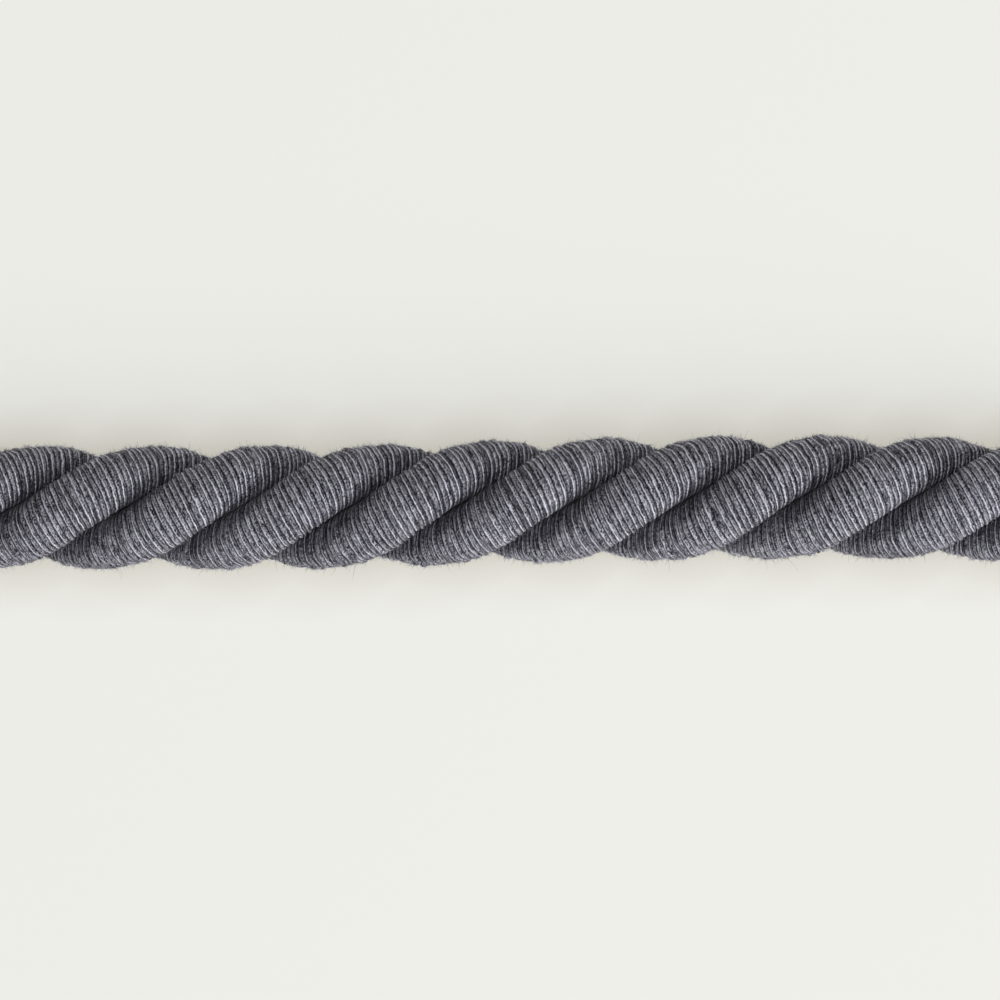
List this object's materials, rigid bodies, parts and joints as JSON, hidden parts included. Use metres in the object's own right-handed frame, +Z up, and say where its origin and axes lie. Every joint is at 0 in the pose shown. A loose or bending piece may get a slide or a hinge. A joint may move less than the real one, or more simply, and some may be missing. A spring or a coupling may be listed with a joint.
{
  "type": "spun cord",
  "caption": "Cut length of thick twisted furnishing cord in grey melange yarn, left-handed lay, for edging, trimming, tie-backs and braid work.",
  "frame": {"origin": "on the surface that the cord lies on, under the middle of its length, which is also the middle of a flattened crown of strand_a", "axes": "+X along the cord, +Y across it, +Z up from the surface"},
  "size_m": [0.132, 0.013, 0.0118],
  "materials": {
    "wound_yarn": "matte melange cotton-look yarn, light and dark grey threads wound close, with short loose fibres"
  },
  "bodies": {
    "root": {"strand_a": "wound_yarn", "strand_b": "wound_yarn", "strand_c": "wound_yarn"}
  },
  "joints": []
}
